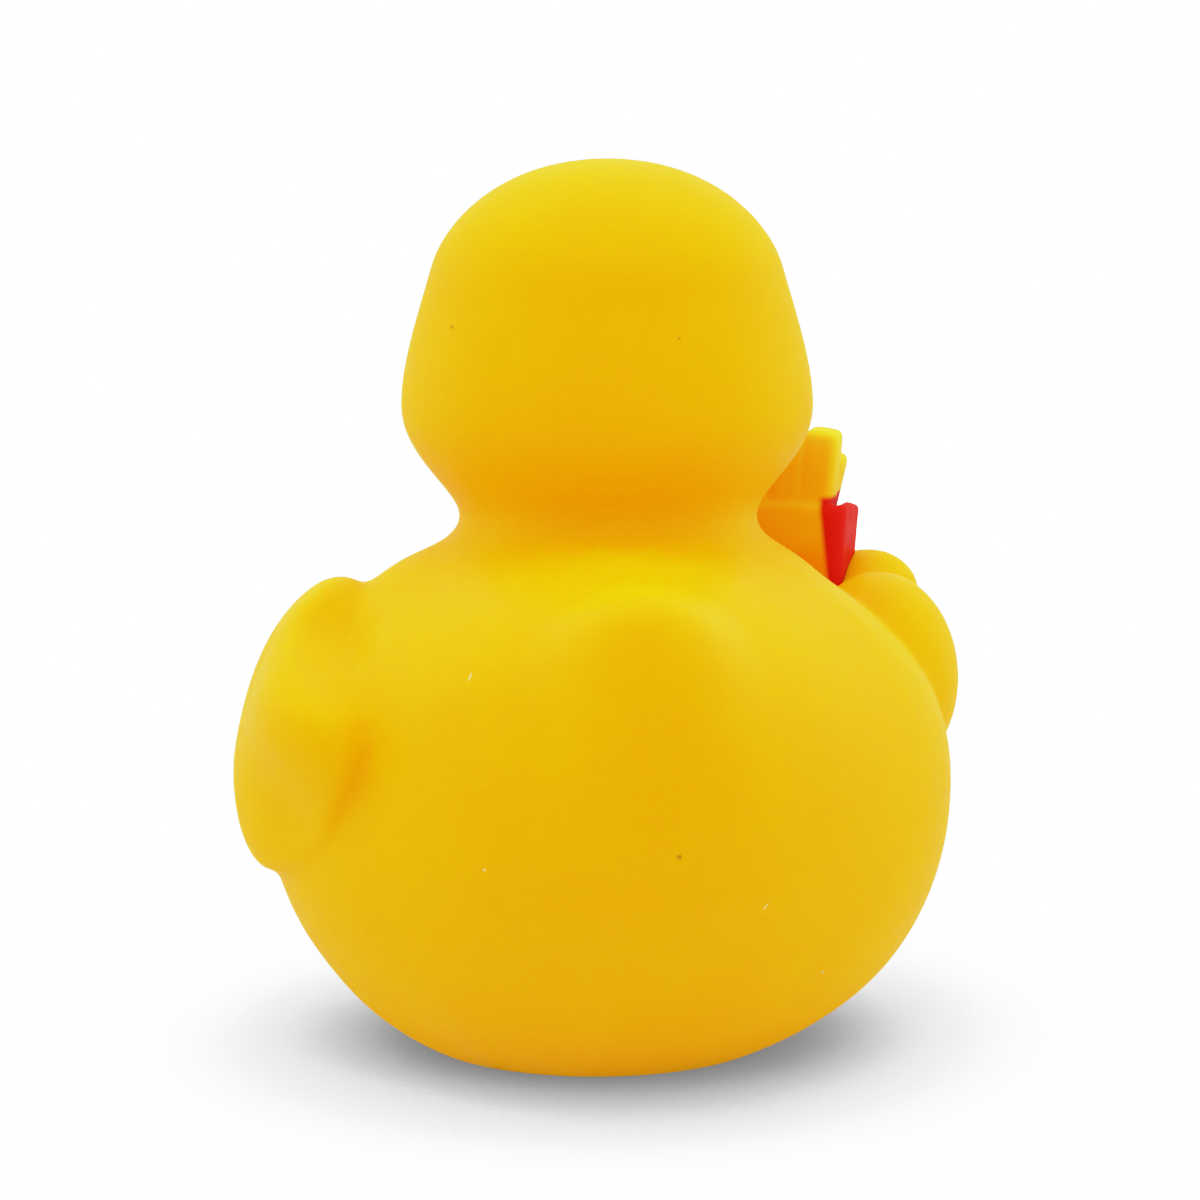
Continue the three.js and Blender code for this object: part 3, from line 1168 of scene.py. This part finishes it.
class OBJECT_OT_bath_duck_carton(bpy.types.Operator):
    """Mould the carton with its eight fries"""

    bl_idname = "object.bath_duck_carton"
    bl_label = "Mould Carton of Fries"

    def execute(self, context):
        sizes = context.scene.bath_duck_carton
        carton = self.add_carton(sizes)
        fry = self.add_fry(sizes)
        fries = [self.place_fry(fry, *entry) for entry in FRIES]
        bpy.data.objects.remove(fry)
        filled = joined("carton_of_fries", [carton, *fries])
        edit(filled, whole=True)
        turn_selection((0.0, 0.0, CARTON_TURN))
        bpy.ops.transform.translate(value=CARTON_AT * MM)
        leave_edit()
        moulded(filled, sizes.fineness)
        apply_modifier(filled, "SMOOTH", factor=0.5, iterations=8)
        shade_by_angle(filled, 180)
        filled.data.materials.clear()
        filled.data.materials.append(bpy.data.materials["painted_carton"])
        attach(filled, "root")
        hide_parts("vinyl_duck")
        return {"FINISHED"}

    def add_carton(self, sizes):
        """A tapered carton with round corners, whose top is sunk inside its rim."""
        begin()
        bpy.ops.mesh.primitive_cube_add(size=1.0)
        carton = bpy.context.object
        edit(carton, whole=True)
        stretch_selection((sizes.width, sizes.depth, sizes.height))
        bpy.ops.transform.translate(value=(0, 0, -sizes.height / 2))
        select_where(carton, lambda place: place.z < -sizes.height / 2)
        stretch_selection((sizes.taper, sizes.taper, 1), (0.0, 0.0, -sizes.height))
        select_edges(carton, lambda a, b: abs(a.z - b.z) > sizes.height / 2)
        bpy.ops.mesh.bevel(offset=CARTON_CORNER, segments=6, affect="EDGES")

        def on_top(face):
            return face.normal.z > UPRIGHT and face.calc_center_median().z > -TOUCHING

        select_faces(carton, on_top)
        bpy.ops.mesh.inset(thickness=sizes.wall)
        bpy.ops.mesh.extrude_region_move(
            TRANSFORM_OT_translate={"value": (0, 0, -CARTON_SUNK)}
        )
        select_edges(carton, lambda a, b: max(abs(a.z), abs(b.z)) < TOUCHING)
        bpy.ops.mesh.bevel(offset=RIM_EASE, segments=3, affect="EDGES")
        bpy.ops.mesh.select_all(action="SELECT")
        bpy.ops.mesh.subdivide(number_cuts=9)
        leave_edit()
        half = sizes.width / 2 / MM

        def scoop(x, y, z):
            hollow = 1 - np.minimum(1, np.abs(x) / half) ** 2
            dip = CARTON_SLOPE + CARTON_SCOOP * hollow
            near = soft_share(-y, *SCOOP_FRONT) * soft_share(z, *SCOOP_LEVELS)
            return x, y, z - dip * near

        sculpt(carton, scoop)
        return carton

    def add_fry(self, sizes):
        """One fry with eased edges, whose top is at the origin."""
        begin()
        bpy.ops.mesh.primitive_cube_add(size=1.0)
        fry = bpy.context.object
        edit(fry, whole=True)
        stretch_selection((sizes.fry_width, sizes.fry_width, FRY_LENGTH))
        bpy.ops.transform.translate(value=(0, 0, -FRY_LENGTH / 2))
        bpy.ops.mesh.bevel(offset=FRY_EASE, segments=4, affect="EDGES")
        leave_edit()
        return fry

    def place_fry(self, fry, across, back, lean, rise):
        """A copy of the fry, at its place in the carton."""
        copy = fry.copy()
        copy.data = fry.data.copy()
        bpy.context.scene.collection.objects.link(copy)
        edit(copy, whole=True)
        bpy.ops.transform.translate(value=(0, 0, rise * MM))
        turn_selection((FRY_SPLAY * back, 0.0, 0.0))
        turn_selection((0.0, lean, 0.0))
        bpy.ops.transform.translate(value=(across * MM, back * MM, 0))
        leave_edit()
        return copy


class OBJECT_OT_bath_duck_squeaker(bpy.types.Operator):
    """Give the squeaker its plastic"""

    bl_idname = "object.bath_duck_squeaker"
    bl_label = "Finish Squeaker"

    def execute(self, context):
        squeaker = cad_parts["squeaker"]
        plastic = bpy.data.materials["squeaker_plastic"]
        for slot in squeaker.material_slots:
            slot.material = plastic
        return {"FINISHED"}


class SCENE_OT_bath_duck_stage(bpy.types.Operator):
    """Set up the lit table, the soft lights, the white room and the camera"""

    bl_idname = "scene.bath_duck_stage"
    bl_label = "Set Up Stage"

    def execute(self, context):
        stage = context.scene.bath_duck_stage
        self.add_table(stage)
        self.add_surroundings(context, stage)
        top = (0.0, 0.0, TOP_LIGHT_LEVEL)
        self.add_light("top_light", top, TOP_LIGHT_SIZE, stage.top_light)
        back = self.towards_camera(stage)
        right = Vector((math.cos(stage.azimuth), math.sin(stage.azimuth), 0.0))
        aside, away, up = SIDE_LIGHT_PLACE
        for name, side in (("side_light_right", 1), ("side_light_left", -1)):
            place = right * side * aside - back * away + Vector((0.0, 0.0, up))
            self.add_light(name, place, SIDE_LIGHT_SIZE, stage.side_light)
        self.add_camera(context, stage, back, right)
        self.set_film(context)
        return {"FINISHED"}

    def set_film(self, context):
        """A plain view whose brightest tones ease off softly instead of clipping."""
        view = context.scene.view_settings
        view.view_transform = "Standard"
        view.look = "None"
        view.use_curve_mapping = True
        mapping = view.curve_mapping
        mapping.clip_max_x = WHITE
        mapping.clip_max_y = WHITE
        curve = mapping.curves[3]
        curve.points[0].location = (0.0, 0.0)
        curve.points[-1].location = FILM[-1]
        for point in FILM[1:-1]:
            curve.points.new(*point)
        mapping.update()

    def towards_camera(self, stage):
        a, e = stage.azimuth, stage.elevation
        return Vector((math.sin(a) * math.cos(e), -math.cos(a) * math.cos(e), math.sin(e)))

    def add_table(self, stage):
        """A wide lit table, white but for a soft painted grey shade near the duck, clear from
        below.
        """
        begin()
        bpy.ops.mesh.primitive_plane_add(size=12.0, location=(0.0, 0.0, -TABLE_DROP * MM))
        floor = bpy.context.object
        floor.name = "floor"
        material = bpy.data.materials.new("lit_table")
        material.use_nodes = True
        material.node_tree.nodes.remove(material.node_tree.nodes["Principled BSDF"])
        nodes = Nodes(material.node_tree)
        # Painted shade: the table's glow darkens where the room over it is less open.
        open_sky = nodes.add("AmbientOcclusion", {"Distance": SHADE_REACH}, samples=16)
        tone = nodes.add("ValToRGB", {"Fac": open_sky.outputs["AO"]})
        ramp = tone.color_ramp
        ramp.interpolation = "LINEAR"
        for place, _ in SHADE[1:-1]:
            ramp.elements.new(place)
        ramp.elements[-1].position = SHADE[-1][0]
        for stop, (place, brightness) in zip(ramp.elements, SHADE):
            grey = brightness / WHITE
            stop.color = (grey, grey, grey, 1.0)
        seen = nodes.add("Emission", {"Color": tone.outputs["Color"], "Strength": WHITE})
        dimmed = nodes.add("MapRange", {"Value": open_sky.outputs["AO"]})
        dimmed.inputs["From Max"].default_value = BOUNCE_FULL
        dimmed.inputs["To Min"].default_value = BOUNCE_LEAST * stage.table
        dimmed.inputs["To Max"].default_value = stage.table
        plain = nodes.between(open_sky.outputs["AO"], *BOUNCE_OPEN)
        bounce = nodes.mix(plain, BOUNCE, with_alpha((1.0, 1.0, 1.0)))
        felt = nodes.add("Emission", {"Color": bounce, "Strength": dimmed.outputs[0]})
        camera_ray = nodes.add("LightPath").outputs["Is Camera Ray"]
        glow = nodes.add("MixShader", {0: camera_ray, 1: felt.outputs[0], 2: seen.outputs[0]})
        clear = nodes.add("BsdfTransparent")
        under = nodes.add("NewGeometry").outputs["Backfacing"]
        shown = nodes.add("MixShader", {0: under, 1: glow.outputs[0], 2: clear.outputs[0]})
        out = material.node_tree.nodes["Material Output"]
        nodes.feed(out.inputs["Surface"], shown.outputs[0])
        floor.data.materials.append(material)

    def add_surroundings(self, context, stage):
        """A white room, brighter towards the ceiling."""
        world = bpy.data.worlds.new("white_room")
        context.scene.world = world
        world.use_nodes = True
        nodes = Nodes(world.node_tree)
        way = nodes.add("SeparateXYZ", {"Vector": nodes.add("TexCoord").outputs["Generated"]})
        height = nodes.between(way.outputs["Z"], -0.1, 1.0)
        strength = nodes.add(
            "MapRange", {"Value": height, "To Min": stage.walls, "To Max": stage.ceiling}
        )
        felt = nodes.add("Background", {"Strength": strength.outputs[0]})
        felt.inputs["Color"].default_value = (1.0, 1.0, 1.0, 1.0)
        seen = world.node_tree.nodes["Background"]
        seen.inputs["Color"].default_value = (1.0, 1.0, 1.0, 1.0)
        seen.inputs["Strength"].default_value = WHITE
        camera_ray = nodes.add("LightPath").outputs["Is Camera Ray"]
        both = nodes.add("MixShader", {0: camera_ray, 1: felt.outputs[0], 2: seen.outputs[0]})
        out = world.node_tree.nodes["World Output"]
        nodes.feed(out.inputs["Surface"], both.outputs[0])

    def add_light(self, name, place, size, power):
        light = bpy.data.lights.new(name, "AREA")
        light.shape = "DISK"
        light.size = size
        light.energy = power
        lamp = bpy.data.objects.new(name, light)
        lamp.location = place
        aim = Vector((0.0, 0.0, LIGHT_AIM)) - Vector(place)
        lamp.rotation_euler = aim.to_track_quat("-Z", "Y").to_euler()
        bpy.context.scene.collection.objects.link(lamp)

    def add_camera(self, context, stage, back, right):
        camera = bpy.data.cameras.new("camera")
        camera.lens = stage.lens
        camera.sensor_width = 36.0
        camera.clip_start = 0.01
        camera.clip_end = 20.0
        viewer = bpy.data.objects.new("camera", camera)
        target = Vector((0.0, 0.0, AIM_LEVEL * MM)) - right * AIM_ASIDE * MM
        viewer.location = target + back * stage.distance
        viewer.rotation_euler = (-back).to_track_quat("-Z", "Y").to_euler()
        context.scene.collection.objects.link(viewer)
        context.scene.camera = viewer


class VIEW3D_PT_bath_duck(bpy.types.Panel):
    """Sizes, colours and building steps of the bath duck"""

    bl_label = "Bath Duck"
    bl_idname = "VIEW3D_PT_bath_duck"
    bl_space_type = "VIEW_3D"
    bl_region_type = "UI"
    bl_category = "Bath Duck"

    def draw(self, context):
        for operator, *settings in STEPS:
            box = self.layout.box()
            for group in [getattr(context.scene, setting) for setting in settings]:
                for name in group.__annotations__:
                    box.prop(group, name)
            box.operator(operator)


GROUPS = {
    "bath_duck_body": BathDuckBody,
    "bath_duck_wings": BathDuckWings,
    "bath_duck_carton": BathDuckCarton,
    "bath_duck_finish": BathDuckFinish,
    "bath_duck_stage": BathDuckStage,
}
OPERATORS = (
    OBJECT_OT_bath_duck_materials,
    OBJECT_OT_bath_duck_skin,
    OBJECT_OT_bath_duck_carton,
    OBJECT_OT_bath_duck_squeaker,
    SCENE_OT_bath_duck_stage,
)
STEPS = (
    ("object.bath_duck_materials", "bath_duck_finish"),
    ("object.bath_duck_skin", "bath_duck_body", "bath_duck_wings"),
    ("object.bath_duck_carton", "bath_duck_carton"),
    ("object.bath_duck_squeaker",),
    ("scene.bath_duck_stage", "bath_duck_stage"),
)


def register():
    for name, group in GROUPS.items():
        bpy.utils.register_class(group)
        setattr(bpy.types.Scene, name, bpy.props.PointerProperty(type=group))
    for operator in OPERATORS:
        bpy.utils.register_class(operator)
    bpy.utils.register_class(VIEW3D_PT_bath_duck)


def unregister():
    bpy.utils.unregister_class(VIEW3D_PT_bath_duck)
    for operator in reversed(OPERATORS):
        bpy.utils.unregister_class(operator)
    for name, group in GROUPS.items():
        delattr(bpy.types.Scene, name)
        bpy.utils.unregister_class(group)


def main():
    register()
    bpy.ops.object.bath_duck_materials()
    bpy.ops.object.bath_duck_skin()
    bpy.ops.object.bath_duck_carton()
    bpy.ops.object.bath_duck_squeaker()
    bpy.ops.scene.bath_duck_stage()
    begin()


if __name__ == "__main__":
    main()
